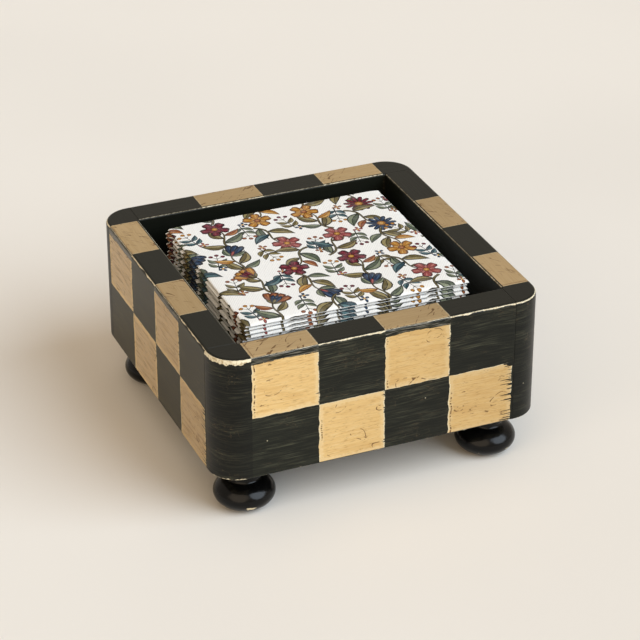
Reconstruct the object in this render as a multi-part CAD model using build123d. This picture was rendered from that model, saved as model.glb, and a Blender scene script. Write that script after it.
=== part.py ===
from build123d import *

import math
import os

# Open-top napkin holder: four identical boards butted in a pinwheel around a square well, a base panel
# set into their lower edge, four turned bun feet and a stack of folded paper napkins.
# Frame: millimetres, +Z up, front towards -Y, origin on the table under the middle of the box.

# Napkins
NAPKIN_WIDTH = 127.0
NAPKIN_DEPTH = 118.0
NAPKIN_COUNT = 28
NAPKIN_AIR = 0.02
LEAF_THICKNESS = 0.3
LEAF_GAP = 0.3
LEAF_STEP = 0.45
STACK_SHIFT_X = 1.0
STACK_SHIFT_Y = 4.0
STACK_SLIP = 0.7
STACK_TWIST = 0.35
# How far each napkin runs on along the waves of slip and twist up the stack, in radians
SLIP_X_STEP = 2.4
SLIP_Y_STEP = 1.7
TWIST_STEP = 1.3

# Box
FINGER_GAP = 11.0
RIM_ABOVE_STACK = 2.6
BOARD_THICKNESS = 17.5
CORNER_RADIUS = 16.0
RIM_OUTER_ROUND = 2.0
RIM_INNER_ROUND = 1.2
BOTTOM_ROUND = 0.8
SEAM_ARRIS = 0.25

# Base panel and its brads
PANEL_THICKNESS = 9.0
RABBET_WIDTH = 9.0
PANEL_CLEARANCE = 0.2
BRAD_DIAMETER = 1.4
BRAD_HEAD_DIAMETER = 2.4
BRAD_HEAD_HEIGHT = 0.6
BRAD_BITE = 12.0
BRAD_SPACING = 74.0
BRADS_PER_SIDE = 2

# Bun feet
BUN_RADIUS = 16.5
BUN_HALF_HEIGHT = 9.5
PAD_RADIUS = 9.0
NECK_RADIUS = 8.5
NECK_LENGTH = 10.5
NECK_COVE = 2.0
COLLAR_RADIUS = 11.5
COLLAR_HEIGHT = 3.0
FOOT_SETBACK = 4.5

# Foot screws, driven down through the base panel
SCREW_DIAMETER = 3.5
SCREW_HEAD_DIAMETER = 6.8
SCREW_BITE = 15.0
SCREW_TIP = 3.0
SCREW_RECESS_WIDTH = 0.9
SCREW_RECESS_DEPTH = 1.0
SCREW_SINK = 0.1

# Corner dowels
DOWEL_DIAMETER = 8.0
DOWEL_IN_END = 18.0
DOWEL_SKIN = 7.0
DOWEL_EDGE = 12.0
DOWEL_CHAMFER = 0.8
DOWEL_END_ROOM = 0.5

# Room round every pin in its hole, and how closely two lengths count as equal
PIN_CLEARANCE = 0.05
TOLERANCE = 0.001

# Sizes that follow from the ones above
WELL_SIDE = NAPKIN_WIDTH + 2 * FINGER_GAP
BOX_SIDE = WELL_SIDE + 2 * BOARD_THICKNESS
RABBET_SIDE = WELL_SIDE + 2 * RABBET_WIDTH
PAIR_THICKNESS = 2 * LEAF_THICKNESS + LEAF_GAP
NAPKIN_THICKNESS = 2 * PAIR_THICKNESS + LEAF_GAP
NAPKIN_PITCH = NAPKIN_THICKNESS + NAPKIN_AIR
STACK_HEIGHT = NAPKIN_COUNT * NAPKIN_PITCH
BOARD_HEIGHT = PANEL_THICKNESS + STACK_HEIGHT + RIM_ABOVE_STACK
BUN_CENTRE = BUN_HALF_HEIGHT * math.sqrt(1 - (PAD_RADIUS / BUN_RADIUS) ** 2)
BOX_BOTTOM = BUN_CENTRE + BUN_HALF_HEIGHT + NECK_LENGTH
WELL_FLOOR = BOX_BOTTOM + PANEL_THICKNESS
RIM = BOX_BOTTOM + BOARD_HEIGHT
FOOT_OFFSET = WELL_SIDE / 2 - FOOT_SETBACK
BOARD_MIDDLE = WELL_SIDE / 2 + BOARD_THICKNESS / 2
BRAD_OFFSET = WELL_SIDE / 2 + RABBET_WIDTH / 2
DOWEL_IN_FACE = BOARD_THICKNESS - DOWEL_SKIN

QUARTER_TURNS = [Rot(0, 0, 90 * turn) for turn in range(4)]


# Turned and round pieces
def turned(*points):
    """A solid of revolution about Z, from the outline of its half section as (radius, height) points."""
    return revolve(Plane.XZ * make_face(Polyline(*points, close=True)), Axis.Z)


def bun_foot():
    """A flattened ball on a flat pad, with a waisted neck and a collar above, bored for its screw."""
    corner = (Align.MIN, Align.MIN)
    ball = Pos(0, BUN_CENTRE) * Ellipse(BUN_RADIUS, BUN_HALF_HEIGHT)
    ball &= Rectangle(BUN_RADIUS, BOX_BOTTOM, align=corner)
    neck = Pos(0, BUN_CENTRE) * Rectangle(NECK_RADIUS, BOX_BOTTOM - BUN_CENTRE, align=corner)
    collar = Pos(0, BOX_BOTTOM - COLLAR_HEIGHT) * Rectangle(COLLAR_RADIUS, COLLAR_HEIGHT, align=corner)
    foot = revolve(Plane.XZ * (ball + neck + collar), Axis.Z)
    foot = fillet(foot.edges().filter_by(GeomType.CIRCLE).filter_by(is_neck_edge), NECK_COVE)
    bore = Cylinder(
        SCREW_DIAMETER / 2 + PIN_CLEARANCE,
        SCREW_BITE + PIN_CLEARANCE,
        align=(Align.CENTER, Align.CENTER, Align.MAX),
    )
    return foot - Pos(0, 0, BOX_BOTTOM) * bore


def is_neck_edge(edge):
    return abs(edge.radius - NECK_RADIUS) < TOLERANCE


def screw_body(grow):
    """A countersunk wood screw hanging from z = 0, every radius larger by grow."""
    head = SCREW_HEAD_DIAMETER / 2 + grow
    shank = SCREW_DIAMETER / 2 + grow
    length = PANEL_THICKNESS - SCREW_SINK + SCREW_BITE
    return turned((0, 0), (head, 0), (shank, shank - head), (shank, SCREW_TIP - length), (0, -length))


def foot_screw():
    """The screw with a crossed recess in its head."""
    slot = Box(
        SCREW_HEAD_DIAMETER / 2,
        SCREW_RECESS_WIDTH,
        SCREW_RECESS_DEPTH,
        align=(Align.CENTER, Align.CENTER, Align.MAX),
    )
    return screw_body(0) - slot - Rot(0, 0, 90) * slot


def brad(grow):
    """A flat-headed brad standing up from z = 0, every radius larger by grow."""
    head = BRAD_HEAD_DIAMETER / 2 + grow
    shank = BRAD_DIAMETER / 2 + grow
    length = PANEL_THICKNESS + BRAD_BITE + grow
    return turned(
        (0, 0),
        (head, 0),
        (head, BRAD_HEAD_HEIGHT),
        (shank, BRAD_HEAD_HEIGHT),
        (shank, length - BRAD_DIAMETER),
        (0, length),
    )


def seam_pin(pin, length):
    """Lays an upright pin along +X, so that it crosses the seam at x = 0 and is centred on the dowel."""
    return Pos((DOWEL_IN_FACE - DOWEL_IN_END - length) / 2, 0, 0) * Rot(0, 90, 0) * pin


def dowel():
    """A round pin with chamfered ends."""
    radius = DOWEL_DIAMETER / 2
    length = DOWEL_IN_END + DOWEL_IN_FACE
    tip = radius - DOWEL_CHAMFER
    end = length - DOWEL_CHAMFER
    pin = turned((0, 0), (tip, 0), (radius, DOWEL_CHAMFER), (radius, end), (tip, length), (0, length))
    return seam_pin(pin, length)


def dowel_hole():
    """The bore for a dowel, through the seam, with room at both ends."""
    length = DOWEL_IN_END + DOWEL_IN_FACE + 2 * DOWEL_END_ROOM
    bore = Cylinder(
        DOWEL_DIAMETER / 2 + PIN_CLEARANCE, length, align=(Align.CENTER, Align.CENTER, Align.MIN)
    )
    return seam_pin(bore, length)


# Places that repeat around the box
def foot_places():
    return [turn * Pos(-FOOT_OFFSET, -FOOT_OFFSET, 0) for turn in QUARTER_TURNS]


def brad_places():
    first = -BRAD_SPACING * (BRADS_PER_SIDE - 1) / 2
    row = [Pos(first + BRAD_SPACING * i, -BRAD_OFFSET, BOX_BOTTOM) for i in range(BRADS_PER_SIDE)]
    return [turn * place for turn in QUARTER_TURNS for place in row]


def dowel_places():
    heights = (WELL_FLOOR + DOWEL_EDGE, RIM - DOWEL_EDGE)
    seam = [Pos(WELL_SIDE / 2, -BOARD_MIDDLE, height) for height in heights]
    return [turn * place for turn in QUARTER_TURNS for place in seam]


# Box
def box_ring():
    """The four walls as one ring, with its rounded corners and edges and the rabbet for the base panel."""
    outline = RectangleRounded(BOX_SIDE, BOX_SIDE, CORNER_RADIUS) - Rectangle(WELL_SIDE, WELL_SIDE)
    ring = Pos(0, 0, BOX_BOTTOM) * extrude(outline, BOARD_HEIGHT)
    ring = fillet(ring.edges().group_by(Axis.Z)[-1].filter_by(is_outer_edge), RIM_OUTER_ROUND)
    ring = fillet(ring.edges().group_by(Axis.Z)[-1].filter_by(is_well_edge), RIM_INNER_ROUND)
    ring = fillet(ring.edges().group_by(Axis.Z)[0].filter_by(is_outer_edge), BOTTOM_ROUND)
    rabbet = Box(RABBET_SIDE, RABBET_SIDE, PANEL_THICKNESS, align=(Align.CENTER, Align.CENTER, Align.MIN))
    return ring - Pos(0, 0, BOX_BOTTOM) * rabbet


def reach(edge):
    """How far from the middle of the box an edge lies, along X or Y."""
    middle = edge.center()
    return max(abs(middle.X), abs(middle.Y))


def is_well_edge(edge):
    return abs(reach(edge) - WELL_SIDE / 2) < TOLERANCE


def is_outer_edge(edge):
    return not is_well_edge(edge)


def front_board():
    """One wall of the pinwheel: it covers the corner at its left and butts on the next wall at its right."""
    length = BOX_SIDE - BOARD_THICKNESS
    slab = Pos(-BOX_SIDE / 2, -BOX_SIDE / 2, BOX_BOTTOM) * Box(
        length, BOARD_THICKNESS, BOARD_HEIGHT, align=(Align.MIN, Align.MIN, Align.MIN)
    )
    board = box_ring() & slab
    butt_end = board.faces().sort_by(Axis.X)[-1]
    board = chamfer(butt_end.edges(), SEAM_ARRIS)
    hole = dowel_hole()
    for place in dowel_places():
        board -= place * hole
    for place in brad_places():
        board -= place * brad(PIN_CLEARANCE)
    return board


def base_panel():
    """A square panel that fills the rabbet, countersunk for the foot screws and pierced by the brads."""
    side = RABBET_SIDE - 2 * PANEL_CLEARANCE
    panel = Box(side, side, PANEL_THICKNESS, align=(Align.CENTER, Align.CENTER, Align.MIN))
    panel = Pos(0, 0, BOX_BOTTOM) * panel
    sunk = Cylinder(
        SCREW_HEAD_DIAMETER / 2 + PIN_CLEARANCE, SCREW_SINK, align=(Align.CENTER, Align.CENTER, Align.MIN)
    )
    for place in foot_places():
        seat = place * Pos(0, 0, WELL_FLOOR - SCREW_SINK)
        panel = panel - seat * screw_body(PIN_CLEARANCE) - seat * sunk
    for place in brad_places():
        panel -= place * brad(PIN_CLEARANCE)
    return panel


# Napkins
def hairpin_section():
    """Two leaves of the sheet with its first fold at the back, seen from the side."""
    front = -NAPKIN_DEPTH / 2
    set_back = front + LEAF_STEP
    bend = NAPKIN_DEPTH / 2 - PAIR_THICKNESS / 2
    middle = PAIR_THICKNESS / 2
    upper = PAIR_THICKNESS - LEAF_THICKNESS
    outside = ThreePointArc((bend, 0), (bend + middle, middle), (bend, PAIR_THICKNESS))
    top = Polyline((bend, PAIR_THICKNESS), (set_back, PAIR_THICKNESS), (set_back, upper), (bend, upper))
    inside = ThreePointArc((bend, upper), (bend + LEAF_GAP / 2, middle), (bend, LEAF_THICKNESS))
    bottom = Polyline((bend, LEAF_THICKNESS), (front, LEAF_THICKNESS), (front, 0), (bend, 0))
    return make_face(outside + top + inside + bottom)


def flat_section():
    """The straight stretch of the same two leaves, which the second fold turns over."""
    bend = NAPKIN_DEPTH / 2 - PAIR_THICKNESS / 2
    straight = Rectangle(NAPKIN_DEPTH, PAIR_THICKNESS, align=(Align.MAX, Align.MIN))
    return hairpin_section() & Pos(bend, 0) * straight


def folded_napkin():
    """A sheet folded in half at the back and again at the left, with free leaves at the front and right."""
    fold = NAPKIN_WIDTH / 2 - NAPKIN_THICKNESS / 2
    at_fold = Plane.YZ.offset(-fold)
    lower = extrude(at_fold * hairpin_section(), fold + NAPKIN_WIDTH / 2)
    upper = extrude(at_fold * hairpin_section(), fold + NAPKIN_WIDTH / 2 - LEAF_STEP)
    upper = mirror(upper, Plane.XY.offset(NAPKIN_THICKNESS / 2))
    fold_axis = Axis((-fold, 0, NAPKIN_THICKNESS / 2), (0, 1, 0))
    turned_over = revolve(at_fold * flat_section(), fold_axis, 180)
    return lower + upper + turned_over


def napkin_place(level):
    """Each napkin slips and turns a little on the one below."""
    slip_x = STACK_SHIFT_X + STACK_SLIP * math.sin(SLIP_X_STEP * level)
    slip_y = STACK_SHIFT_Y + STACK_SLIP * math.cos(SLIP_Y_STEP * level)
    twist = STACK_TWIST * math.sin(TWIST_STEP * level)
    return Pos(slip_x, slip_y, WELL_FLOOR + NAPKIN_PITCH * level) * Rot(0, 0, twist)


def all_parts():
    """Every node's name and its solids."""
    parts = {}
    wall = front_board()
    for name, turn in zip(("front", "right", "rear", "left"), QUARTER_TURNS):
        parts[name + "_board"] = turn * wall
    parts["base_panel"] = base_panel()
    foot = bun_foot()
    for name, place in zip(("front_left", "front_right", "rear_right", "rear_left"), foot_places()):
        parts["foot_" + name] = place * foot
    screw = Pos(0, 0, WELL_FLOOR - SCREW_SINK) * foot_screw()
    parts["foot_screws"] = Compound([place * screw for place in foot_places()])
    nail = brad(0)
    parts["panel_brads"] = Compound([place * nail for place in brad_places()])
    pin = dowel()
    parts["corner_dowels"] = Compound([place * pin for place in dowel_places()])
    napkin = folded_napkin()
    for level in range(NAPKIN_COUNT):
        parts[f"napkin_{level + 1:02d}"] = napkin_place(level) * napkin
    return parts


os.makedirs("parts", exist_ok=True)
for node, shape in all_parts().items():
    export_step(shape, f"parts/{node}.step")
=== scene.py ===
import math
import random
from cmath import phase, rect

import bpy
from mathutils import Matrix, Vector
from mathutils.geometry import delaunay_2d_cdt


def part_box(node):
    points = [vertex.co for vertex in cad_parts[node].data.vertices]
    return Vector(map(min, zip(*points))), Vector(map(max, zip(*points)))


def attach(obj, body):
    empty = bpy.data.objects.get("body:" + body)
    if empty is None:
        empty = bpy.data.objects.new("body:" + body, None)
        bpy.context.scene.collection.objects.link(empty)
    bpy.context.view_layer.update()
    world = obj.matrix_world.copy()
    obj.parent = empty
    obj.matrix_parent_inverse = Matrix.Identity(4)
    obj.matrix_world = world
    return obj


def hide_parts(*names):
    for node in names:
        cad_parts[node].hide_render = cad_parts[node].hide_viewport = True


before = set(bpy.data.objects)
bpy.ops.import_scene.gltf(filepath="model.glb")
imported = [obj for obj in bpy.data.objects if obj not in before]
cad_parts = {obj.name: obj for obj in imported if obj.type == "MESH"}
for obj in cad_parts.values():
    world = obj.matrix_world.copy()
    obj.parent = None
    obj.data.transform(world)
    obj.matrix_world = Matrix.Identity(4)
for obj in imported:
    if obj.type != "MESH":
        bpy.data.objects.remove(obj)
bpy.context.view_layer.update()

# Sizes read from the frame. Paint, print and napkins are worked out in millimetres.
MM = 0.001
board_low, board_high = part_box("front_board")
HALF_SIDE = -board_low.y / MM
WALL = (board_high.y - board_low.y) / MM
BOTTOM = board_low.z / MM
RIM = board_high.z / MM
napkin_low, napkin_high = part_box("napkin_01")
LEAF_WIDTH, LEAF_DEPTH, NAPKIN_THICKNESS = (napkin_high - napkin_low) / MM
NAPKINS = sum(node.startswith("napkin_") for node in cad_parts)

# Painted checks, in millimetres. The corners are black over the width of the corner strip.
CORNER_RADIUS = 16.0
CORNER_STRIP = 18.5
COLUMNS = 4
CHECK_EDGE = HALF_SIDE - CORNER_STRIP
CHECK_WIDTH = 2 * CHECK_EDGE / COLUMNS
MIDDLE = (BOTTOM + RIM) / 2
WELL_EDGE = HALF_SIDE - WALL

# A folded napkin, in millimetres: four plies with three gaps between them, each as thick as a ply.
# A fold is given by half its mean length, and a reach runs from a fold's middle to the cut edge.
# Two of the cut edges are set back, by the outer radius of the back fold.
PLY = NAPKIN_THICKNESS / 7
SIDE_FOLD = math.pi * PLY
BACK_FOLD = math.pi / 2 * PLY
BACK_FOLD_RADIUS = 1.5 * PLY
SET_BACK = BACK_FOLD_RADIUS
REACH_ACROSS = SIDE_FOLD + LEAF_WIDTH - NAPKIN_THICKNESS / 2
REACH_ALONG = BACK_FOLD + LEAF_DEPTH - BACK_FOLD_RADIUS
EMBOSS_PITCH = 1.2

# The napkins are twisted on the stack by turns, each one a step further along a wave
STACK_TWIST = math.radians(0.35)
TWIST_STEP = 1.3

# Camera and light, in metres and degrees
CAMERA_PLACE = Vector((-0.4607, -1.0948, 0.7198))
CAMERA_AZIMUTH = -22.94
CAMERA_ELEVATION = 29.14
CAMERA_LENS = 140.15
SENSOR = 36.0
KEY_DIRECTION = Vector((0.5, -0.62, 0.6))
KEY_SPREAD = 52.0
KEY_STRENGTH = 3.35
KEY_COLOUR = (0.757, 0.872, 1.0)
FILL_DIRECTION = Vector((-0.6, -0.6, 0.53))
FILL_SPREAD = 64.0
FILL_STRENGTH = 1.45
FILL_COLOUR = (1.0, 0.8, 0.58)
TOP_DIRECTION = Vector((0.0, 0.0, 1.0))
TOP_SPREAD = 50.0
TOP_STRENGTH = 0.485
TOP_COLOUR = (1.0, 0.86, 0.72)
WORLD_COLOUR = (1.0, 0.88, 0.74)
WORLD_STRENGTH = 0.17
BACKDROP_STRENGTH = 0.6
FLOOR_SIZE = 16.0
FLOOR_COLOUR = (0.805, 0.765, 0.7)
FLOOR_TINT = 0.97

# Colours, linear
CHARCOAL = (0.0072, 0.0084, 0.0055)
CHARCOAL_DEEP = (0.0035, 0.0042, 0.003)
CHARCOAL_STREAK = (0.066, 0.067, 0.043)
CHARCOAL_SHEEN = (0.063, 0.057, 0.032)
CHARCOAL_RUB = (0.078, 0.056, 0.031)
TAN = (0.7, 0.475, 0.197)
TAN_DEEP = (0.57, 0.352, 0.126)
TAN_PALE = (0.74, 0.555, 0.29)
TAN_BROWN = (0.28, 0.17, 0.062)
TAN_SHEEN_AND_SHADE = (0.5, 0.43, 0.345)
TAN_SCORED = (0.15, 0.1, 0.055)
TAN_RIM = (0.445, 0.313, 0.16)
TAN_RIM_DEEP = (0.385, 0.26, 0.122)
TAN_RIM_DULL = (0.25, 0.175, 0.088)
CREAM = (0.66, 0.57, 0.38)
CREAM_BRIGHT = (0.74, 0.67, 0.49)
CREAM_DULL = (0.46, 0.365, 0.21)
UMBER = (0.095, 0.042, 0.013)
HIGHLIGHT_AND_SCUFF = (0.23, 0.21, 0.165)
LACQUER = (0.0018, 0.0018, 0.0018)
LACQUER_DUSTY = (0.009, 0.0085, 0.008)
STEEL = (0.5, 0.5, 0.49)
STEEL_STAINED = (0.32, 0.3, 0.27)
BEECH = (0.6, 0.4, 0.22)
BEECH_DEEP = (0.45, 0.27, 0.13)
BEECH_FLECK = (0.25, 0.12, 0.05)
PAPER = (0.84, 0.835, 0.805)

# How much of the rim each board's rounded corner has lost, and which boards get dark scoring and painted
# sheen and shade
CORNER_WEAR = {"front": 1.0, "right": 0.3, "rear": 0.3, "left": 0.3}
SHEEN_AND_SCORING_BOARDS = {"left"}

# How far the patterns move on from one board or foot to the next, so that no two look alike
BOARD_SHIFT = 37.0
FOOT_SHIFT = 13.0


class Field:
    """A number that varies over a surface, with the arithmetic that shader nodes can do on it."""

    def __init__(self, graph, socket):
        self.graph = graph
        self.socket = socket

    def __add__(self, other):
        return self.graph.math("ADD", self, other)

    def __sub__(self, other):
        return self.graph.math("SUBTRACT", self, other)

    def __rsub__(self, other):
        return self.graph.math("SUBTRACT", other, self)

    def __mul__(self, other):
        return self.graph.math("MULTIPLY", self, other)

    def __truediv__(self, other):
        return self.graph.math("DIVIDE", self, other)

    def __abs__(self):
        return self.graph.math("ABSOLUTE", self)

    def __neg__(self):
        return self.graph.math("MULTIPLY", self, -1.0)

    __radd__ = __add__
    __rmul__ = __mul__

    def most(self, other):
        return self.graph.math("MAXIMUM", self, other)

    def least(self, other):
        return self.graph.math("MINIMUM", self, other)

    def over(self, low, high):
        """0 below low, 1 above high and smooth between them. It falls if high is less than low."""
        return self.graph.ramp(self, low, high)


class Graph:
    """The node tree of one material, ending in its Principled shader."""

    def __init__(self, name):
        self.material = bpy.data.materials.new(name)
        self.material.use_nodes = True
        self.tree = self.material.node_tree
        self.shader = self.tree.nodes["Principled BSDF"]

    def put(self, socket, value):
        """Sets an input to a field, a colour or a number."""
        if isinstance(value, Field):
            self.tree.links.new(value.socket, socket)
        elif hasattr(value, "__len__") and socket.type == "RGBA":
            socket.default_value = (*value, 1.0)
        else:
            socket.default_value = value

    def node(self, kind, *values, **settings):
        """A new node, with its first inputs and its settings."""
        node = self.tree.nodes.new(kind)
        for name, value in settings.items():
            setattr(node, name, value)
        for socket, value in zip(node.inputs, values):
            if value is not None:
                self.put(socket, value)
        return node

    def math(self, operation, *values):
        return Field(self, self.node("ShaderNodeMath", *values, operation=operation).outputs[0])

    def ramp(self, value, low, high):
        values = (value, high, low, 1.0, 0.0) if high < low else (value, low, high, 0.0, 1.0)
        node = self.node("ShaderNodeMapRange", *values, interpolation_type="SMOOTHSTEP")
        return Field(self, node.outputs[0])

    def noise(self, x, y, z=0.0, detail=2.0, roughness=0.5):
        """Smooth noise, mostly from 0.25 to 0.75, whose features are about 1 across."""
        point = self.node("ShaderNodeCombineXYZ", x, y, z)
        node = self.tree.nodes.new("ShaderNodeTexNoise")
        self.tree.links.new(point.outputs[0], node.inputs["Vector"])
        node.inputs["Scale"].default_value = 1.0
        node.inputs["Detail"].default_value = detail
        node.inputs["Roughness"].default_value = roughness
        return Field(self, node.outputs[0])

    def dots(self, x, y, z):
        """Distance from scattered points that lie about 1 apart."""
        point = self.node("ShaderNodeCombineXYZ", x, y, z)
        node = self.tree.nodes.new("ShaderNodeTexVoronoi")
        self.tree.links.new(point.outputs[0], node.inputs["Vector"])
        node.inputs["Scale"].default_value = 1.0
        return Field(self, node.outputs["Distance"])

    def blend(self, share, first, second):
        """The first colour where share is 0, and the second where it is 1."""
        node = self.tree.nodes.new("ShaderNodeMix")
        node.data_type = "RGBA"
        self.put(node.inputs["Factor"], share)
        colours = [socket for socket in node.inputs if socket.type == "RGBA"]
        self.put(colours[0], first)
        self.put(colours[1], second)
        result = next(socket for socket in node.outputs if socket.type == "RGBA")
        return Field(self, result)

    def attribute(self, name):
        """A colour that the mesh carries."""
        return Field(self, self.node("ShaderNodeAttribute", attribute_name=name).outputs["Color"])

    def place(self, quarter_turns=0):
        """Position on the object in millimetres, turned back by so many quarter turns about Z."""
        coordinates = self.tree.nodes.new("ShaderNodeTexCoord")
        turned = self.tree.nodes.new("ShaderNodeMapping")
        turned.inputs["Scale"].default_value = (1 / MM,) * 3
        turned.inputs["Rotation"].default_value = (0, 0, -math.pi / 2 * quarter_turns)
        self.tree.links.new(coordinates.outputs["Object"], turned.inputs["Vector"])
        parts = self.node("ShaderNodeSeparateXYZ", Field(self, turned.outputs[0]))
        return [Field(self, socket) for socket in parts.outputs]

    def finish(self, colour, roughness, height=None, depth=0.05, **fixed):
        """Sets the shader: colour, roughness, relief in millimetres, and what is the same all over."""
        self.put(self.shader.inputs["Base Color"], colour)
        self.put(self.shader.inputs["Roughness"], roughness)
        for name, value in fixed.items():
            self.put(self.shader.inputs[name.replace("_", " ")], value)
        if height is not None:
            bump = self.tree.nodes.new("ShaderNodeBump")
            bump.inputs["Distance"].default_value = depth * MM
            self.put(bump.inputs["Height"], height)
            self.tree.links.new(bump.outputs[0], self.shader.inputs["Normal"])
        return self.material


def painted_board(name, quarter_turns, corner_wear, sheen_and_scoring):
    """Black and tan checks brushed on by hand, worn to a cream undercoat along the edges.

    Every board is painted as the front one and turned to its side. The numbers are millimetres, shares of a
    colour, or limits between which a noise shows.
    """
    paint = Graph(name)
    x, y, z = paint.place(quarter_turns)
    shift = BOARD_SHIFT * quarter_turns

    # Where a point lies. past_edge is 0 on the rim's outer edge, more on the rim and less on the faces.
    # right_end_share grows along the board from its rounded end, and the colours deepen with it.
    below_rim = RIM - z
    above_bottom = z - BOTTOM
    round_x = (abs(x) - (HALF_SIDE - CORNER_RADIUS)).most(0.0)
    round_y = (abs(y) - (HALF_SIDE - CORNER_RADIUS)).most(0.0)
    inset = CORNER_RADIUS - paint.math("SQRT", round_x * round_x + round_y * round_y)
    from_well = -WELL_EDGE - y
    past_edge = inset - below_rim
    corner = (-x).over(CHECK_EDGE - 0.4, CHECK_EDGE + 0.2)
    on_rim = past_edge.over(-0.4, 0.4) * below_rim.over(1.2, 0.5)
    outside = from_well.over(6.0, 9.0).most(corner)
    in_well = from_well.over(0.8, 0.3) * below_rim.over(0.6, 1.2) * (1.0 - corner)
    right_end_share = x.over(-120.0, 120.0)

    # Brush strokes run along the board and wander a little
    along = x - y + shift
    wander = (paint.noise(along / 42.0, z / 20.0, 6.2, detail=1.0) - 0.5) * 3.0
    across = z + wander + on_rim * (-y - z - wander)
    stroke = paint.noise(along / 15.0, across / 0.62, 1.7, detail=4.0, roughness=0.6)
    bristle = paint.noise(along / 10.0, across / 0.5, 4.1, detail=1.0)
    dab = paint.noise(along / 3.6, across / 0.55, 14.2, detail=2.0)
    comb = paint.noise(along / 18.0, z / 0.8, 9.4, detail=2.0)
    patch = paint.noise(along / 17.0, across / 15.0, 8.3, detail=2.0)
    blush = paint.noise(along / 30.0, across / 9.0, 3.8, detail=3.0)
    edge_run = paint.noise(along / 8.0, 11.3, 0.5, detail=3.0, roughness=0.55)
    edge_chip = paint.noise(along / 1.6, across / 1.6, 5.7, detail=2.0)

    # The checks, with borders that waver
    waver = paint.noise(along / 26.0, across / 5.0, 7.7, detail=3.0) - 0.5
    x_border = x + waver * (2.2 - 1.7 * on_rim)
    z_border = z + (paint.noise(along / 7.0, across / 30.0, 3.3, detail=3.0) - 0.5) * 1.5
    column = (x_border + CHECK_EDGE) / CHECK_WIDTH
    column_sign = paint.math("SINE", column * math.pi).over(-0.012, 0.012)
    upper_row = (z_border - MIDDLE).over(-0.12, 0.12)
    within = abs(x_border).over(CHECK_EDGE - 0.1, CHECK_EDGE - 0.25)
    check = (1.0 - abs(column_sign - upper_row)) * within
    from_left = paint.math("FRACT", column) * CHECK_WIDTH
    from_right = CHECK_WIDTH - from_left
    from_middle = abs(z_border - MIDDLE)

    # The black reaches into the tan: bristle marks from the right, and a band along the rim
    last_column = x.over(CHECK_EDGE - 9.0, CHECK_EDGE - 6.0)
    ragged = (2.5 + 42.0 * last_column + 12.0 * patch.over(0.5, 0.62)) * (1.0 - on_rim)
    left_in = (from_right - (comb - 0.54) * ragged).over(0.0, 0.35)
    band = 4.0 + (edge_run - 0.5) * 1.6 + (comb - 0.5) * 3.4 + (edge_chip - 0.5) * 0.9
    past_band = (past_edge - 0.45).most(-past_edge - band).over(0.0, 0.2)
    on_board = from_well.over(1.25, 1.5) * above_bottom.over(0.5, 0.9)
    tan = check * left_in * past_band * on_board
    gloss = check * (past_edge + band).over(-0.1, 0.3) * past_edge.over(0.6, 0.2) * outside

    # Tan: fine strokes, dabs and blushes, deeper towards the board's right end
    colour = paint.blend(stroke.over(0.46, 0.7) * 0.8, TAN, TAN_DEEP)
    colour = paint.blend(bristle.over(0.5, 0.74) * 0.7, colour, TAN_PALE)
    colour = paint.blend(blush.over(0.5, 0.7) * 0.55, colour, TAN_DEEP)
    colour = paint.blend(dab.over(0.55, 0.7) * 0.45, colour, TAN_BROWN)
    # Painted sheen and shade on those boards: the tan greys towards a duller tan. Dark brush lines score it
    # too.
    if sheen_and_scoring:
        colour = paint.blend((0.25 + dab) * 0.75, colour, TAN_SHEEN_AND_SHADE)
        colour = paint.blend(stroke.over(0.52, 0.64) * 0.55, colour, TAN_SCORED)
    border = from_right.least(from_left).least(from_middle).least(above_bottom)
    colour = paint.blend((border - edge_chip * 4.0).over(1.2, -0.6) * 0.75, colour, TAN_PALE)
    # The rim's tan is darker than the faces': partly a duller paint, partly painted shade on the top, which
    # the light reaches less
    rim_colour = paint.blend(stroke.over(0.4, 0.7), TAN_RIM, TAN_RIM_DEEP)
    rim_colour = paint.blend(right_end_share * 0.6, rim_colour, TAN_RIM_DULL)
    colour = paint.blend(right_end_share * 0.5, colour, TAN_BROWN)
    colour = paint.blend(on_rim, colour, rim_colour)

    # Dark marks on the tan: ticks down the left border, short dashes, scratches in arcs, smudges
    dotted = paint.noise(along / 30.0, z / 0.55, 2.2, detail=0.0).over(0.47, 0.54)
    first_column = x.over(8.0 - CHECK_EDGE, 5.0 - CHECK_EDGE)
    ticks = abs(from_left - 1.5).over(0.5, 0.22) * dotted * patch.over(0.46, 0.51).most(first_column)
    dash = paint.dots(along / 9.0, across / 3.8, 1.1).over(0.085, 0.05) * blush.over(0.44, 0.5)
    swirl = paint.noise(along / 15.0, across / 12.0, 12.1, detail=0.0)
    broken = paint.noise(along / 2.6, across / 2.6, 5.2, detail=1.0).over(0.47, 0.54)
    scratch = abs(swirl - 0.67).over(0.012, 0.005) * broken * patch.over(0.44, 0.5)
    smear = paint.noise(along / 6.0, across / 2.2, 6.6, detail=4.0, roughness=0.62)
    smudge = (smear + 0.035 * abs(x).over(35.0, 65.0)).over(0.655, 0.73)
    crack = abs(paint.noise(along / 9.0, across / 30.0, 15.0, detail=1.0) - 0.5).over(0.01, 0.004)
    marks = ticks.most(dash * 0.65).most(scratch * 0.85).most(smudge * 0.8) * (1.0 - 0.5 * on_rim)
    marks = marks.most(crack * broken * on_rim * 0.85)
    colour = paint.blend(marks, colour, UMBER)

    # A cream ridge along parts of the borders
    ridge_width = 0.5 + (edge_chip - 0.38) * 1.8
    ridge = (ridge_width - from_right.least(from_left * 1.25)).over(0.0, 0.2) * patch.over(0.36, 0.44)
    ridge = ridge.most((0.5 - from_middle).over(0.0, 0.2) * edge_chip.over(0.4, 0.48) * 0.85)
    ridge = ridge * (1.0 - 0.6 * on_rim)
    colour = paint.blend(ridge * 0.85, colour, CREAM)
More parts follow.
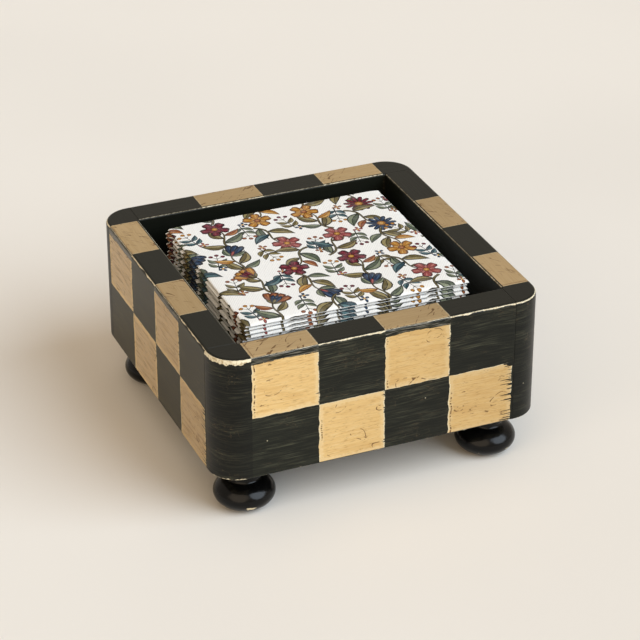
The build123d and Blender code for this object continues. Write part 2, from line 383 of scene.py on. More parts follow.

    # Charcoal: paler strokes, a few rubs that let some brown through, painted sheen on some boards, and
    # painted highlight streaks on the band along the rim
    faces = (1.0 - on_rim) * (1.0 - in_well) * (1.0 - 0.4 * right_end_share)
    sweep = stroke.over(0.42, 0.76) * (0.3 + 0.9 * blush.over(0.4, 0.62))
    black = paint.blend(corner.most(right_end_share * 0.7) * (1.0 - 0.6 * on_rim), CHARCOAL, CHARCOAL_DEEP)
    # Painted sheen on those boards: the black lifts towards a warm olive
    if sheen_and_scoring:
        sheen_share = (0.16 + 0.5 * stroke.over(0.36, 0.64)) * faces * (1.0 - corner)
        black = paint.blend(sheen_share, black, CHARCOAL_SHEEN)
    black = paint.blend(sweep * faces * (0.85 - 0.35 * corner), black, CHARCOAL_STREAK)
    rub = dab.over(0.55, 0.75) * blush.over(0.52, 0.64) * faces
    black = paint.blend(rub * 0.75, black, CHARCOAL_RUB)
    hair = abs(paint.noise(along / 7.0, across / 3.2, 17.5, detail=1.0) - 0.5).over(0.008, 0.003)
    black = paint.blend(hair * patch.over(0.5, 0.6) * faces * 0.6, black, CHARCOAL_RUB)
    # Painted highlight on the roundover over the tan columns: grey streaks on the black band, partly scuffs
    black = paint.blend(gloss * bristle.over(0.5, 0.62) * 0.6, black, HIGHLIGHT_AND_SCUFF)
    colour = paint.blend(tan, black, colour)

    # Worn edges: along the rim, most of all on the corner, round the well and along the bottom
    rim_depth = (edge_run - 0.38) * 4.6 * (1.0 - 0.75 * check)
    torn = 2.4 + (edge_run - 0.5) * 5.0 + (edge_chip - 0.5) * 1.2
    rim_depth = rim_depth * (1.0 - corner) + corner * (corner_wear * torn + 0.2)
    rim_top = 0.3 + (edge_chip - 0.5) * 0.9 - past_edge
    rim_wear = rim_top.over(0.0, 0.2) * (past_edge + rim_depth).over(0.0, 0.2) * outside
    well_line = abs(from_well - below_rim - 0.25)
    well_wear = (0.42 - well_line + (edge_chip - 0.5) * 0.9).over(0.0, 0.2) * from_well.over(3.0, 2.0)
    well_wear = well_wear * (1.0 - corner) * (0.35 + 0.65 * check)
    foot_depth = (edge_run - 0.5) * 3.2 + (edge_chip - 0.5) + corner * 0.5
    foot_wear = (foot_depth - above_bottom).over(0.0, 0.2)
    speck = paint.dots(along / 23.0, across / 23.0, 0.4).over(0.02, 0.013) * (1.0 - tan)
    seam = x.over(WELL_EDGE - 0.5, WELL_EDGE - 0.2)
    wear = rim_wear.most(well_wear * 0.7).most(foot_wear * 0.9).most(speck * 0.7) * (1.0 - seam)
    worn_colour = paint.blend(edge_chip.over(0.34, 0.56), CREAM_DULL, CREAM_BRIGHT)
    colour = paint.blend(wear, colour, worn_colour)
    colour = paint.blend(seam * 0.8, colour, CHARCOAL)

    roughness = 0.28 + stroke * 0.2 + tan * 0.1 + wear * 0.15 - gloss * (1.0 - wear) * 0.3
    paint_relief = stroke * 0.5 + bristle * 0.4 + dab * tan * 0.9 + tan * 0.8 + ridge * tan * 0.6
    height = paint_relief - wear * 0.5 - marks * tan * 0.4 - seam
    return paint.finish(colour, roughness, height, depth=0.1, Specular_IOR_Level=0.2)


def lacquered_foot(name, shift):
    """Glossy black lacquer, with a few chips low on the bun."""
    paint = Graph(name)
    x, y, z = paint.place()
    chip = paint.noise(x / 6.0 + shift, y / 6.0, z / 2.0, detail=3.0, roughness=0.55)
    low = z.over(7.5, 5.5) * z.over(2.0, 3.5)
    chipped = (chip * low).over(0.605, 0.62)
    dust = paint.noise(x / 2.0, y / 2.0, z / 2.0 + shift, detail=4.0)
    colour = paint.blend(dust.over(0.5, 0.85) * 0.5, LACQUER, LACQUER_DUSTY)
    colour = paint.blend(chipped, colour, CREAM)
    roughness = 0.13 + dust * 0.14 + chipped * 0.4
    height = paint.noise(x / 3.5, y / 3.5, z / 3.5, detail=1.0) - chipped * 0.5
    return paint.finish(colour, roughness, height, depth=0.12, Specular_IOR_Level=0.2)


def base_paint(name):
    """Satin black over plywood, with its grain along X showing through as low ridges."""
    paint = Graph(name)
    x, y, z = paint.place()
    grain = paint.noise(x / 38.0, y / 1.3, z / 1.3, detail=4.0, roughness=0.62)
    rub = paint.noise(x / 14.0, y / 14.0, z / 14.0, detail=3.0)
    colour = paint.blend(grain.over(0.45, 0.75), CHARCOAL, CHARCOAL_STREAK)
    colour = paint.blend((grain * rub).over(0.34, 0.44) * 0.5, colour, CHARCOAL_RUB)
    return paint.finish(colour, 0.42 + grain * 0.25, grain, depth=0.12)


def screw_steel(name):
    """Zinc-grey steel with fine scratches."""
    metal = Graph(name)
    x, y, z = metal.place()
    scratch = metal.noise(x / 0.25, y / 2.0, z / 0.6, detail=4.0, roughness=0.7)
    stain = metal.noise(x / 3.0, y / 3.0, z / 3.0, detail=2.0)
    colour = metal.blend(stain.over(0.4, 0.7), STEEL, STEEL_STAINED)
    return metal.finish(colour, 0.28 + scratch * 0.25, scratch, depth=0.02, Metallic=1.0)


def bare_beech(name):
    """Unfinished beech with short dark flecks along the pins."""
    wood = Graph(name)
    x, y, z = wood.place()
    grain = wood.noise(x / 4.0, y / 4.0, z / 0.7, detail=4.0, roughness=0.6)
    fleck = wood.noise(x / 1.4, y / 1.4, z / 0.35, detail=1.0).over(0.62, 0.7)
    colour = wood.blend(grain.over(0.3, 0.7), BEECH, BEECH_DEEP)
    colour = wood.blend(fleck * 0.6, colour, BEECH_FLECK)
    return wood.finish(colour, 0.6 + grain * 0.15, grain, depth=0.06)


def printed_paper(name):
    """Soft tissue embossed with fine slanting lines, and ink that lies a little unevenly on it."""
    paper = Graph(name)
    x, y, z = paper.place()
    fibre = paper.noise(x / 0.5, y / 0.5, z / 0.5, detail=3.0)
    soak = paper.noise(x / 4.0, y / 4.0, z / 4.0, detail=2.0)
    colour = paper.blend((fibre + soak).over(0.85, 1.35) * 0.1, paper.attribute("print"), PAPER)
    turn_per_mm = 2 * math.pi / EMBOSS_PITCH
    hatch = paper.math("SINE", (x * 0.8 - y * 0.6) * turn_per_mm)
    counter_hatch = paper.math("SINE", (x * 0.8 + y * 0.6) * turn_per_mm)
    emboss = hatch + counter_hatch * 0.3 + fibre
    return paper.finish(colour, 0.78 + fibre * 0.15, emboss, depth=0.04, Specular_IOR_Level=0.25)


def dress(node, material):
    """Gives a CAD node its finish."""
    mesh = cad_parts[node].data
    mesh.materials.clear()
    mesh.materials.append(material)


# The finish of each piece of the box
for turn, side in enumerate(("front", "right", "rear", "left")):
    dress(side + "_board", painted_board(side + "_paint", turn, CORNER_WEAR[side], side in SHEEN_AND_SCORING_BOARDS))
for turn, corner_name in enumerate(("front_left", "front_right", "rear_right", "rear_left")):
    dress("foot_" + corner_name, lacquered_foot(corner_name + "_lacquer", FOOT_SHIFT * turn))
dress("base_panel", base_paint("panel_paint"))
steel = screw_steel("fastener_steel")
dress("foot_screws", steel)
dress("panel_brads", steel)
dress("corner_dowels", bare_beech("dowel_beech"))


DISPLAY_GAMMA = 2.2


def ink(red, green, blue):
    """A linear colour from one of 0 to 255."""
    return tuple((channel / 255) ** DISPLAY_GAMMA for channel in (red, green, blue))


# Inks of the napkin print: the dark outline, body and light touch of each hue
BURGUNDY = (ink(42, 9, 16), ink(90, 21, 38), ink(126, 49, 62))
NAVY = (ink(12, 19, 31), ink(30, 48, 74), ink(62, 87, 112))
OCHRE = (ink(92, 56, 18), ink(164, 112, 42), ink(192, 148, 80))
ROSE = (ink(82, 34, 36), ink(138, 68, 66), ink(172, 110, 102))
RUST = (ink(72, 36, 20), ink(128, 72, 42), ink(164, 112, 72))
OLIVE = (ink(44, 39, 24), ink(94, 84, 52), ink(138, 126, 86))
SAGE = (ink(37, 42, 34), ink(76, 85, 70), ink(120, 127, 104))
TEAL = (ink(17, 31, 38), ink(40, 66, 76), ink(82, 109, 113))

# The print lies on the plane of complex numbers, in millimetres. A shape is (ink, outline).
# A leaf of a sprig is (point of the stem, side, length, inks).
FLOWER_RADIUS = 9.0
FLORET_RADIUS = 3.0
BERRY_RADIUS = 1.3
STEM = (complex(-17, -5), complex(-9, 6), complex(-2, -8), complex(7, 1))
STEM_POINTS = 14
STEM_WIDTH = 1.8
FLOWER_PLACE = complex(8, 1.5)
LEAF_GROWTH = 1.45
TWIG_LENGTH = 12.5
TWIG_LEAF = 0.6 * TWIG_LENGTH
SPRIG_LEAVES = (
    ((2, 1, 10.5, OLIVE), (4, -1, 11.5, SAGE), (7, 1, 9.0, OLIVE), (9, -1, 8.0, RUST)),
    ((1, -1, 9.5, SAGE), (4, 1, 11.0, OLIVE), (6, -1, 10.0, TEAL), (9, 1, 7.5, OLIVE)),
    ((2, -1, 11.0, OLIVE), (3, 1, 9.0, SAGE), (6, 1, 10.5, OLIVE), (8, -1, 8.5, OCHRE)),
)


def placed(outline, place, heading, size):
    """An outline drawn along the real axis, scaled, turned to a heading and moved to a place."""
    return [place + rect(size, heading) * point for point in outline]


def petal_outline(width, notch=0.0, points=12):
    """A petal of length 1 from its base at 0, broadest towards its tip, which may be notched."""
    outline = []
    for i in range(points):
        angle = 2 * math.pi * i / points
        along = (1 - math.cos(angle)) / 2
        side = width / 2 * math.sin(angle) * along**0.5
        along -= notch * math.exp(-(((angle - math.pi) / 0.4) ** 2))
        outline.append(complex(along, side))
    return outline


def leaf_outline(width, bend, low=-1.0, high=1.0, ends=(0.0, 1.0), points=7):
    """A pointed leaf of length 1 whose midrib bends, or the part between two shares of its half width."""
    def edge(share):
        line = []
        for i in range(points):
            t = ends[0] + (ends[1] - ends[0]) * i / (points - 1)
            half = width / 2 * math.sin(math.pi * t**0.8)
            line.append(complex(t, bend * math.sin(math.pi * t) + share * half))
        return line
    return edge(low) + edge(high)[-2:0:-1]


def stem_outline(line, width, taper=0.6):
    """A ribbon along a line of points that grows thinner towards its end."""
    left, right = [], []
    for i, point in enumerate(line):
        after = line[min(i + 1, len(line) - 1)]
        before = line[max(i - 1, 0)]
        side = 1j * (after - before) / abs(after - before)
        half = width / 2 * (1 - taper * i / (len(line) - 1))
        left.append(point + side * half)
        right.append(point - side * half)
    return left + right[::-1]


def bezier(start, first, second, end, points):
    """Points along a cubic curve with two handles."""
    line = []
    for i in range(points):
        t = i / (points - 1)
        u = 1 - t
        line.append(u**3 * start + 3 * u * u * t * first + 3 * u * t * t * second + t**3 * end)
    return line


def disc(place, radius, points=10):
    """A round dot."""
    return [place + rect(radius, 2 * math.pi * i / points) for i in range(points)]


def leaf(place, heading, length, width, bend, inks):
    """A leaf with a dark outline and midrib, and a light half."""
    dark, body, light = inks
    width /= length
    return [
        (dark, placed(leaf_outline(width, bend), place, heading, length)),
        (body, placed(leaf_outline(width, bend, -0.74, -0.08, (0.1, 0.9), 5), place, heading, length)),
        (light, placed(leaf_outline(width, bend, 0.08, 0.74, (0.1, 0.9), 5), place, heading, length)),
    ]


def petals(place, turns, radius, width, notch, inks):
    """Petals that start at one place and head along the turns."""
    dark, body, light = inks
    shapes = []
    for turn in turns:
        shapes.append((dark, placed(petal_outline(width, notch), place, turn, radius)))
        inner = place + rect(0.12 * radius, turn)
        shapes.append((body, placed(petal_outline(0.8 * width, notch, 10), inner, turn, 0.8 * radius)))
        lit = place + rect(0.42 * radius, turn + 0.08)
        shapes.append((light, placed(petal_outline(0.42 * width, 0, 6), lit, turn, 0.42 * radius)))
    return shapes


def ring(heading, count):
    """Headings all round."""
    return [heading + 2 * math.pi * i / count for i in range(count)]


def fan(heading, count, spread):
    """Headings to both sides of one."""
    return [heading + spread * (i / (count - 1) - 0.5) for i in range(count)]


def eye(place, radius, inks, rim_ink):
    """The heart of a flower, with a ring of dots."""
    dark, body, light = inks
    shapes = [
        (rim_ink, disc(place, radius)),
        (body, disc(place, 0.78 * radius)),
        (light, disc(place, 0.42 * radius, 8)),
    ]
    for turn in ring(0.0, 7):
        shapes.append((dark, disc(place + rect(0.6 * radius, turn), 0.11 * radius, 5)))
    return shapes


def rosette(place, heading, radius, inks, heart):
    """A full flower seen from above: five broad notched petals and a ring of small ones."""
    dark, body, light = inks
    shapes = petals(place, ring(heading, 5), radius, 0.86, 0.1, inks)
    shapes += petals(place, ring(heading + math.pi / 5, 5), 0.56 * radius, 0.6, 0.0, (dark, light, body))
    return shapes + eye(place, 0.24 * radius, heart, dark)


def daisy(place, heading, radius, inks, heart):
    """A flower with a ring of narrow petals."""
    shapes = petals(place, ring(heading, 11), radius, 0.42, 0.03, inks)
    return shapes + eye(place, 0.3 * radius, heart, heart[0])


def bell(place, heading, radius, inks, heart):
    """A hanging flower seen from the side, with its sepals."""
    base = place - rect(0.55 * radius, heading)
    shapes = petals(base, fan(heading, 4, 1.15), 1.5 * radius, 0.5, 0.08, inks)
    shapes += petals(base, fan(heading, 3, 0.5), 1.1 * radius, 0.36, 0.0, heart)
    return shapes + petals(base, fan(heading, 3, 1.7), 0.62 * radius, 0.5, 0.0, OLIVE)


def bud(place, heading, radius, inks, heart):
    """A closed flower, pointed, with a small heart between two sepals."""
    base = place - rect(0.6 * radius, heading)
    shapes = petals(base, fan(heading, 3, 0.62), 1.5 * radius, 0.46, 0.0, inks)
    shapes += petals(base, [heading], 0.7 * radius, 0.4, 0.0, heart)
    shapes += leaf(base, heading + 0.62, 1.15 * radius, 0.42 * radius, 0.12, SAGE)
    return shapes + leaf(base, heading - 0.62, 1.15 * radius, 0.42 * radius, -0.12, SAGE)


def berries(place, heading, radius, inks):
    """Three berries on short stalks."""
    dark, body, light = inks
    shapes = []
    for turn in fan(heading, 3, 1.8):
        tip = place + rect(3.2 * radius, turn)
        shapes.append((OLIVE[0], stem_outline([place, tip], 0.35 * radius)))
        shapes += [(dark, disc(tip, radius, 9)), (body, disc(tip, 0.76 * radius, 9))]
        shapes.append((light, disc(tip + rect(0.3 * radius, 1.9), 0.26 * radius, 5)))
    return shapes


def sprig(place, heading, flip, flower, inks, heart, leaves):
    """A flower on a curved stem with leaves to both sides."""
    def at(point):
        return place + rect(1.0, heading) * complex(point.real, flip * point.imag)

    line = bezier(*[at(point) for point in STEM], STEM_POINTS)
    shapes = [(OLIVE[0], stem_outline(line, STEM_WIDTH)), (OLIVE[1], stem_outline(line[:-2], 0.8))]
    for step, side, length, kind in leaves:
        turn = phase(line[step + 1] - line[step - 1]) + side * flip * 0.85
        grown = LEAF_GROWTH * length
        shapes += leaf(line[step], turn, grown, 0.4 * grown, side * flip * 0.12, kind)
    return shapes + flower(at(FLOWER_PLACE), phase(line[-1] - line[-3]), FLOWER_RADIUS, inks, heart)


def twig(place, heading, kind, inks):
    """A small spray of paired leaves with berries at its tip."""
    tip = place + rect(TWIG_LENGTH, heading)
    shapes = [(kind[0], stem_outline([place, (place + tip) / 2, tip], 0.8))]
    for step in (0.25, 0.6):
        base = place + rect(TWIG_LENGTH * step, heading)
        for side in (-1, 1):
            shapes += leaf(base, heading + side * 0.8, TWIG_LEAF, 0.45 * TWIG_LEAF, side * 0.1, kind)
    return shapes + berries(tip, heading, BERRY_RADIUS, inks)


def floret(place, heading, inks):
    """A tiny flower with four petals."""
    shapes = petals(place, ring(heading, 4), FLORET_RADIUS, 0.8, 0.0, inks)
    return shapes + [(OCHRE[2], disc(place, FLORET_RADIUS / 4, 8))]


# A bloom is (flower, inks, inks of its heart)
BLOOMS = (
    (rosette, BURGUNDY, OCHRE),
    (daisy, NAVY, OCHRE),
    (bell, OCHRE, BURGUNDY),
    (rosette, ROSE, OCHRE),
    (daisy, BURGUNDY, OCHRE),
    (bud, NAVY, ROSE),
    (rosette, OCHRE, RUST),
    (bell, RUST, NAVY),
)
PITCH_ACROSS = LEAF_WIDTH / 4.5
PITCH_ALONG = LEAF_DEPTH / 4
PRINT_SHIFT = complex(9.0, 3.5)
PRINT_COLUMNS = range(-6, 6)
PRINT_ROWS = range(-2, 5)
PRINT_SEED = 23


def tossed_print():
    """Climbing sprigs in a half-drop layout, up and down by turns, with twigs and florets between them.

    It covers the napkin's outer leaves, top and bottom, and runs past their edges.
    """
    chance = random.Random(PRINT_SEED)
    shapes = []
    for i in PRINT_COLUMNS:
        for j in PRINT_ROWS:
            corner = complex(i * PITCH_ACROSS, (j + 0.5 * (i % 2)) * PITCH_ALONG) + PRINT_SHIFT
            centre = corner + complex(PITCH_ACROSS, PITCH_ALONG) / 2 + rect(1.0, chance.uniform(0, 6.28))
            heading = (math.pi / 2 if i % 2 else -math.pi / 2) + chance.uniform(-0.45, 0.45)
            back = heading + math.pi + chance.uniform(-0.3, 0.3)
            twig_place = corner + complex(PITCH_ACROSS, 0.3 * PITCH_ALONG)
            twig_inks = (SAGE, OLIVE, TEAL)[(i + j) % 3]
            berry_inks = (RUST, BURGUNDY, OCHRE)[(i + 2 * j) % 3]
            shapes += twig(twig_place, back, twig_inks, berry_inks)
            floret_place = corner + complex(0.08 * PITCH_ACROSS, 0.78 * PITCH_ALONG)
            shapes += floret(floret_place, back, (ROSE, NAVY, RUST)[(2 * i + j) % 3])
            flower, inks, heart = BLOOMS[(3 * i + 5 * j) % len(BLOOMS)]
            leaves = SPRIG_LEAVES[(i + 2 * j) % 3]
            flip = 1 if j % 2 else -1
            shapes += sprig(centre, heading, flip, flower, inks, heart, leaves)
    return shapes


# The sheet before it is folded, in millimetres: across is 0 on the side fold, and along on the back fold.
# The leaves that end up outside have along above 0: the top one has across above 0, the bottom one below.
LOW_ACROSS = -REACH_ACROSS
HIGH_ACROSS = REACH_ACROSS - SET_BACK
LOW_ALONG = SET_BACK - REACH_ALONG
HIGH_ALONG = REACH_ALONG
BORDER_ROWS = (0.5, 1.2, 2.5, 4.5, 7.0)
BORDER_STEP = 1.4
SIDE_FOLD_STEPS = 4
BACK_FOLD_STEPS = 3
GRID_STEP = 9.0
PRINT_MARGIN = 7.0
SHARP_ANGLE = math.radians(50)
CUT_TOLERANCE = 1e-5

# How a folded napkin lies: over what width each edge is shaped, in millimetres, and how strongly
PRESSED_TO = -0.35
PRESSED_WIDTH = 7.0
PRESSED_SHARE = 0.45
CRIMP_PITCH = 5.5
CRIMP_WAVE = 0.2
ROLLED_WIDTH = 1.6
ROLLED_SHARE = 0.3
CREASE_WIDTH = 6.0
CREASE_SHARE = 0.35
SWOLLEN_WIDTH = 1.5
SWOLLEN_SHARE = 0.8
TURNED_WIDTH = 0.6
TURNED_DOWN = 1.4

# The bake's square map: the printed side is divided at the folds and leaves strips at the top for the rest
MAP_SIDE_FOLD = 0.3
MAP_BACK_FOLD = 0.15
MAP_PRINTED_TOP = 0.9
MAP_CUT_EDGES = (0.905, 0.915)
MAP_PLAIN_MIDDLE = (0.5, 0.96)
MAP_PLAIN_HALF = (1 / 2.1, 1 / 28)


def fade(distance, width):
    """1 at an edge, falling smoothly to 0 at a distance of width."""
    share = min(max(1 - distance / width, 0.0), 1.0)
    return share * share * (3 - 2 * share)


def crimp(distance, place):
    """How hard a free edge is pressed at a distance from it, more and less by turns along it."""
    wave = math.cos(2 * math.pi * place / CRIMP_PITCH)
    return fade(distance, PRESSED_WIDTH) * (1 - CRIMP_WAVE + CRIMP_WAVE * wave)


def folded(across, along, side):
    """Where a point of the sheet lies once folded, about the napkin's middle, on one side of the paper."""
    # The paper is thicker along its cut edges
    from_cut = min(REACH_ACROSS - abs(across), REACH_ALONG - abs(along))
    side *= 1 + SWOLLEN_SHARE * fade(from_cut - SET_BACK, SWOLLEN_WIDTH)

    # The back fold first, then the side fold round it
    turn = math.pi / 2 * min(max(along / BACK_FOLD, -1), 1)
    radius = PLY + side
    out = radius * math.sin(turn)
    y = LEAF_DEPTH / 2 - BACK_FOLD_RADIUS + radius * math.cos(turn) - max(abs(along) - BACK_FOLD, 0)
    turn = math.pi / 2 * min(max(across / SIDE_FOLD, -1), 1)
    radius = 2 * PLY + out
    x = (NAPKIN_THICKNESS - LEAF_WIDTH) / 2 - radius * math.cos(turn) + max(abs(across) - SIDE_FOLD, 0)
    z = radius * math.sin(turn)

    # The side fold is creased, and the free edges are pressed together and rolled. At the front the top
    # leaf's edge turns down over those below it.
    from_front = y + LEAF_DEPTH / 2
    from_right = LEAF_WIDTH / 2 - x
    from_left = x + LEAF_WIDTH / 2
    pressed = PRESSED_SHARE * max(crimp(from_front, x), crimp(from_right, y))
    rolled = ROLLED_SHARE * max(fade(from_front, ROLLED_WIDTH), fade(from_right, ROLLED_WIDTH))
    creased = CREASE_SHARE * fade(from_left, CREASE_WIDTH)
    if along > 0:
        past_fold = 1 - fade(across - SIDE_FOLD, SIDE_FOLD)
        z -= TURNED_DOWN * past_fold * fade(from_front, TURNED_WIDTH)
    z = PRESSED_TO + (z - PRESSED_TO) * (1 - max(pressed + rolled, creased))
    return (x * MM, y * MM, z * MM)


class Plan:
    """Points, lines and filled shapes on the flat sheet, to be cut into triangles."""

    def __init__(self):
        self.points = []
        self.edges = []
        self.shapes = []

    def add(self, across, along):
        """Adds a point and gives its number."""
        self.points.append(Vector((across, along)))
        return len(self.points) - 1

    def line(self, places):
        """Adds a line of points that the triangles keep to."""
        numbers = [self.add(*place) for place in places]
        self.edges += list(zip(numbers, numbers[1:]))

    def fill(self, outline):
        """Adds a shape of the print."""
        area = sum((a.conjugate() * b).imag for a, b in zip(outline, outline[1:] + outline[:1]))
        ordered = outline if area > 0 else outline[::-1]
        self.shapes.append([self.add(point.real, point.imag) for point in ordered])

    def triangles(self):
        """Points and triangles of the sheet, and the number of the last shape that covers each, or -1."""
        sheet = delaunay_2d_cdt(self.points, self.edges, self.shapes, 0, CUT_TOLERANCE, True)
        points, _, faces, _, _, covers = sheet
        used = {}
        kept = []
        tops = []
        for face, cover in zip(faces, covers):
            middle = sum((points[i] for i in face), Vector((0, 0))) / 3
            if LOW_ACROSS < middle.x < HIGH_ACROSS and LOW_ALONG < middle.y < HIGH_ALONG:
                kept.append([used.setdefault(i, len(used)) for i in face])
                tops.append(max(cover, default=-1))
        return [points[i] for i in used], kept, tops


def stations(low, high, step):
    """Even places from low to high, not more than step apart."""
    count = math.ceil((high - low) / step)
    return [low + (high - low) * i / count for i in range(count + 1)]


def ruled_sheet():
    """A plan with the lines that the folds and the pressed edges follow."""
    plan = Plan()
    across_steps = stations(LOW_ACROSS, HIGH_ACROSS, BORDER_STEP)
    along_steps = stations(LOW_ALONG, HIGH_ALONG, BORDER_STEP)
    for row in (0.0, *BORDER_ROWS):
        for along in (LOW_ALONG + row, HIGH_ALONG - row):
            plan.line([(across, along) for across in across_steps])
        for across in (LOW_ACROSS + row, HIGH_ACROSS - row):
            plan.line([(across, along) for along in along_steps])
    for i in range(-SIDE_FOLD_STEPS, SIDE_FOLD_STEPS + 1):
        across = SIDE_FOLD * i / SIDE_FOLD_STEPS
        plan.line([(across, LOW_ALONG), (across, HIGH_ALONG)])
    for i in range(-BACK_FOLD_STEPS, BACK_FOLD_STEPS + 1):
        along = BACK_FOLD * i / BACK_FOLD_STEPS
        plan.line([(LOW_ACROSS, along), (HIGH_ACROSS, along)])
    for across in stations(LOW_ACROSS, HIGH_ACROSS, GRID_STEP):
        for along in stations(LOW_ALONG, HIGH_ALONG, GRID_STEP):
            plan.add(across, along)
    return plan


def near_an_edge(outline):
    """Whether a shape comes near an edge or fold of the outer leaves."""
    for point in outline:
        across = abs(point.real)
        along = point.imag
        distances = (across, abs(REACH_ACROSS - across), abs(along), abs(REACH_ALONG - along))
        if min(distances) < PRINT_MARGIN:
            return True
    return False


def rim_of(faces):
    """The edges that belong to one triangle only, each in that triangle's direction."""
    edges = {(face[i], face[i - 2]) for face in faces for i in range(3)}
    return [(a, b) for a, b in edges if (b, a) not in edges]


def printed_spot(across, along):
    """Where a point of the printed side lies on the map. The top leaf has the largest share."""
    width = 1 - MAP_SIDE_FOLD if across > 0 else MAP_SIDE_FOLD
    height = MAP_PRINTED_TOP - MAP_BACK_FOLD if along > 0 else MAP_BACK_FOLD
    return MAP_SIDE_FOLD + width * across / REACH_ACROSS, MAP_BACK_FOLD + height * along / REACH_ALONG


def plain_spot(across, along):
    """Where a point of the plain side lies on the map."""
    u = MAP_PLAIN_MIDDLE[0] + MAP_PLAIN_HALF[0] * across / REACH_ACROSS
    v = MAP_PLAIN_MIDDLE[1] + MAP_PLAIN_HALF[1] * along / REACH_ALONG
    return u, v


def cut_edge_spots(number, count):
    """Where one of so many pieces of the cut edges lies on the map."""
    start = number / count
    end = (number + 1) / count
    low, high = MAP_CUT_EDGES
    return [(start, low), (end, low), (end, high), (start, high)]


def rounded(point):
    """A point's place, coarse enough for two plans to agree on it."""
    return round(point.x, 3), round(point.y, 3)


def paint_corners(mesh, colours, spots):
    """Gives each polygon its ink, and its place on the map that the bake uses."""
    inks = []
    places = []
    for colour, polygon_spots in zip(colours, spots):
        for spot in polygon_spots:
            inks += (*colour, 1.0)
            places += spot
    mesh.attributes.new("print", "FLOAT_COLOR", "CORNER").data.foreach_set("color", inks)
    mesh.uv_layers.new(name="OFBake").data.foreach_set("uv", places)


def napkin_mesh(name, shapes):
    """A sheet of paper with two sides and cut edges, printed on its outer side and folded twice."""
    plan = ruled_sheet()
    for _, outline in shapes:
        plan.fill(outline)
    points, faces, tops = plan.triangles()
    rim = rim_of(faces)

    verts = [folded(point.x, point.y, PLY / 2) for point in points]
    polygons = [face[::-1] for face in faces]
    colours = [PAPER if top < 0 else shapes[top][0] for top in tops]
    spots = [[printed_spot(*points[i]) for i in polygon] for polygon in polygons]

    # The plain side repeats the rim's points, so that the cut edges can close the sheet
    plain = ruled_sheet()
    for a, b in rim:
        plain.line([points[a], points[b]])
    plain_points, plain_faces, _ = plain.triangles()
    first = len(verts)
    verts += [folded(point.x, point.y, -PLY / 2) for point in plain_points]
    plain_polygons = [[first + i for i in face] for face in plain_faces]
    spots += [[plain_spot(*plain_points[i]) for i in face] for face in plain_faces]

    twin = {rounded(point): first + i for i, point in enumerate(plain_points)}
    edge_polygons = [[a, b, twin[rounded(points[b])], twin[rounded(points[a])]] for a, b in rim]
    spots += [cut_edge_spots(i, len(rim)) for i in range(len(rim))]

    mesh = bpy.data.meshes.new(name)
    mesh.from_pydata(verts, [], polygons + plain_polygons + edge_polygons)
    colours += [PAPER] * (len(plain_polygons) + len(edge_polygons))
    paint_corners(mesh, colours, spots)
    mesh.materials.append(PRINTED)
    mesh.shade_smooth()
    mesh.set_sharp_from_angle(angle=SHARP_ANGLE)
    return mesh


def add_napkin(number, mesh):
    """Lays one napkin where its CAD solid lies."""
    node = f"napkin_{number:02d}"
    low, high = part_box(node)
    napkin = bpy.data.objects.new(f"folded_napkin_{number:02d}", mesh)
    napkin.location = (low + high) / 2
    napkin.rotation_euler.z = STACK_TWIST * math.sin(TWIST_STEP * (number - 1))
    bpy.context.scene.collection.objects.link(napkin)
    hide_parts(node)
    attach(napkin, "top_napkin" if number == NAPKINS else "napkin_stack")


PRINTED = printed_paper("printed_tissue")
print_shapes = tossed_print()
whole_print = napkin_mesh("napkin_whole_print", print_shapes)
edge_print = napkin_mesh("napkin_edge_print", [shape for shape in print_shapes if near_an_edge(shape[1])])
for napkin_number in range(1, NAPKINS + 1):
    shows_its_face = napkin_number >= NAPKINS - 1
    add_napkin(napkin_number, whole_print if shows_its_face else edge_print)


def floor_paper():
    """A pale seamless ground with a faint tooth."""
    ground = Graph("floor_paper")
    x, y, z = ground.place()
    tooth = ground.noise(x / 1.5, y / 1.5, z, detail=3.0)
    tint = ground.noise(x / 300.0, y / 300.0, z, detail=1.0)
    deeper = tuple(FLOOR_TINT * channel for channel in FLOOR_COLOUR)
    colour = ground.blend(tint.over(0.35, 0.65), FLOOR_COLOUR, deeper)
    return ground.finish(colour, 0.85, tooth, depth=0.03)


def add_floor():
    """A wide flat floor under the feet."""
    half = FLOOR_SIZE / 2
    mesh = bpy.data.meshes.new("floor")
    corners = [(-half, -half, 0), (half, -half, 0), (half, half, 0), (-half, half, 0)]
    mesh.from_pydata(corners, [], [(0, 1, 2, 3)])
    mesh.materials.append(floor_paper())
    floor = bpy.data.objects.new("floor", mesh)
    bpy.context.scene.collection.objects.link(floor)


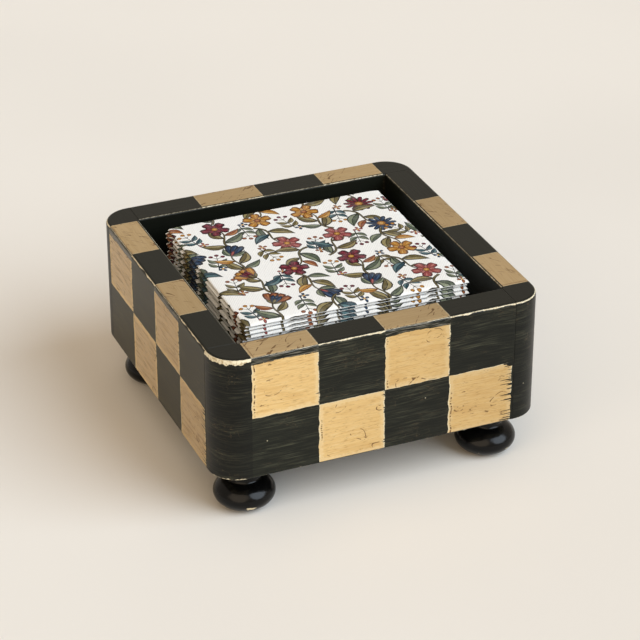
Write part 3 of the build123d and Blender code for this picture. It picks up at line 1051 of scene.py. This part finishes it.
def add_soft_light(name, direction, spread, strength, colour):
    """Even light from a wide round patch of the studio, so many degrees across, in one direction."""
    light = bpy.data.lights.new(name, "SUN")
    light.angle = math.radians(spread)
    light.energy = strength
    light.color = colour
    lamp = bpy.data.objects.new(name, light)
    lamp.rotation_euler = direction.to_track_quat("Z", "Y").to_euler()
    bpy.context.scene.collection.objects.link(lamp)


def add_world():
    """Pale where it is seen or mirrored, and a weak light from all round for everything else."""
    world = bpy.data.worlds.new("studio")
    world.use_nodes = True
    tree = world.node_tree
    background = tree.nodes["Background"]
    background.inputs["Color"].default_value = (*WORLD_COLOUR, 1.0)
    rays = tree.nodes.new("ShaderNodeLightPath")
    seen = rays.outputs["Is Camera Ray"]
    for kind in ("Is Glossy Ray", "Is Transmission Ray"):
        either = tree.nodes.new("ShaderNodeMath")
        either.operation = "MAXIMUM"
        tree.links.new(seen, either.inputs[0])
        tree.links.new(rays.outputs[kind], either.inputs[1])
        seen = either.outputs[0]
    strength = tree.nodes.new("ShaderNodeMapRange")
    strength.inputs["To Min"].default_value = WORLD_STRENGTH
    strength.inputs["To Max"].default_value = BACKDROP_STRENGTH
    tree.links.new(seen, strength.inputs["Value"])
    tree.links.new(strength.outputs[0], background.inputs["Strength"])
    bpy.context.scene.world = world


def add_camera():
    """The photo's viewing angle."""
    camera = bpy.data.cameras.new("camera")
    camera.lens = CAMERA_LENS
    camera.sensor_width = SENSOR
    eye_point = bpy.data.objects.new("camera", camera)
    eye_point.location = CAMERA_PLACE
    eye_point.rotation_euler = (math.radians(90 - CAMERA_ELEVATION), 0, math.radians(CAMERA_AZIMUTH))
    bpy.context.scene.collection.objects.link(eye_point)
    bpy.context.scene.camera = eye_point


add_floor()
add_soft_light("key", KEY_DIRECTION, KEY_SPREAD, KEY_STRENGTH, KEY_COLOUR)
add_soft_light("fill", FILL_DIRECTION, FILL_SPREAD, FILL_STRENGTH, FILL_COLOUR)
add_soft_light("top", TOP_DIRECTION, TOP_SPREAD, TOP_STRENGTH, TOP_COLOUR)
add_world()
add_camera()
bpy.context.scene.view_settings.view_transform = "Standard"
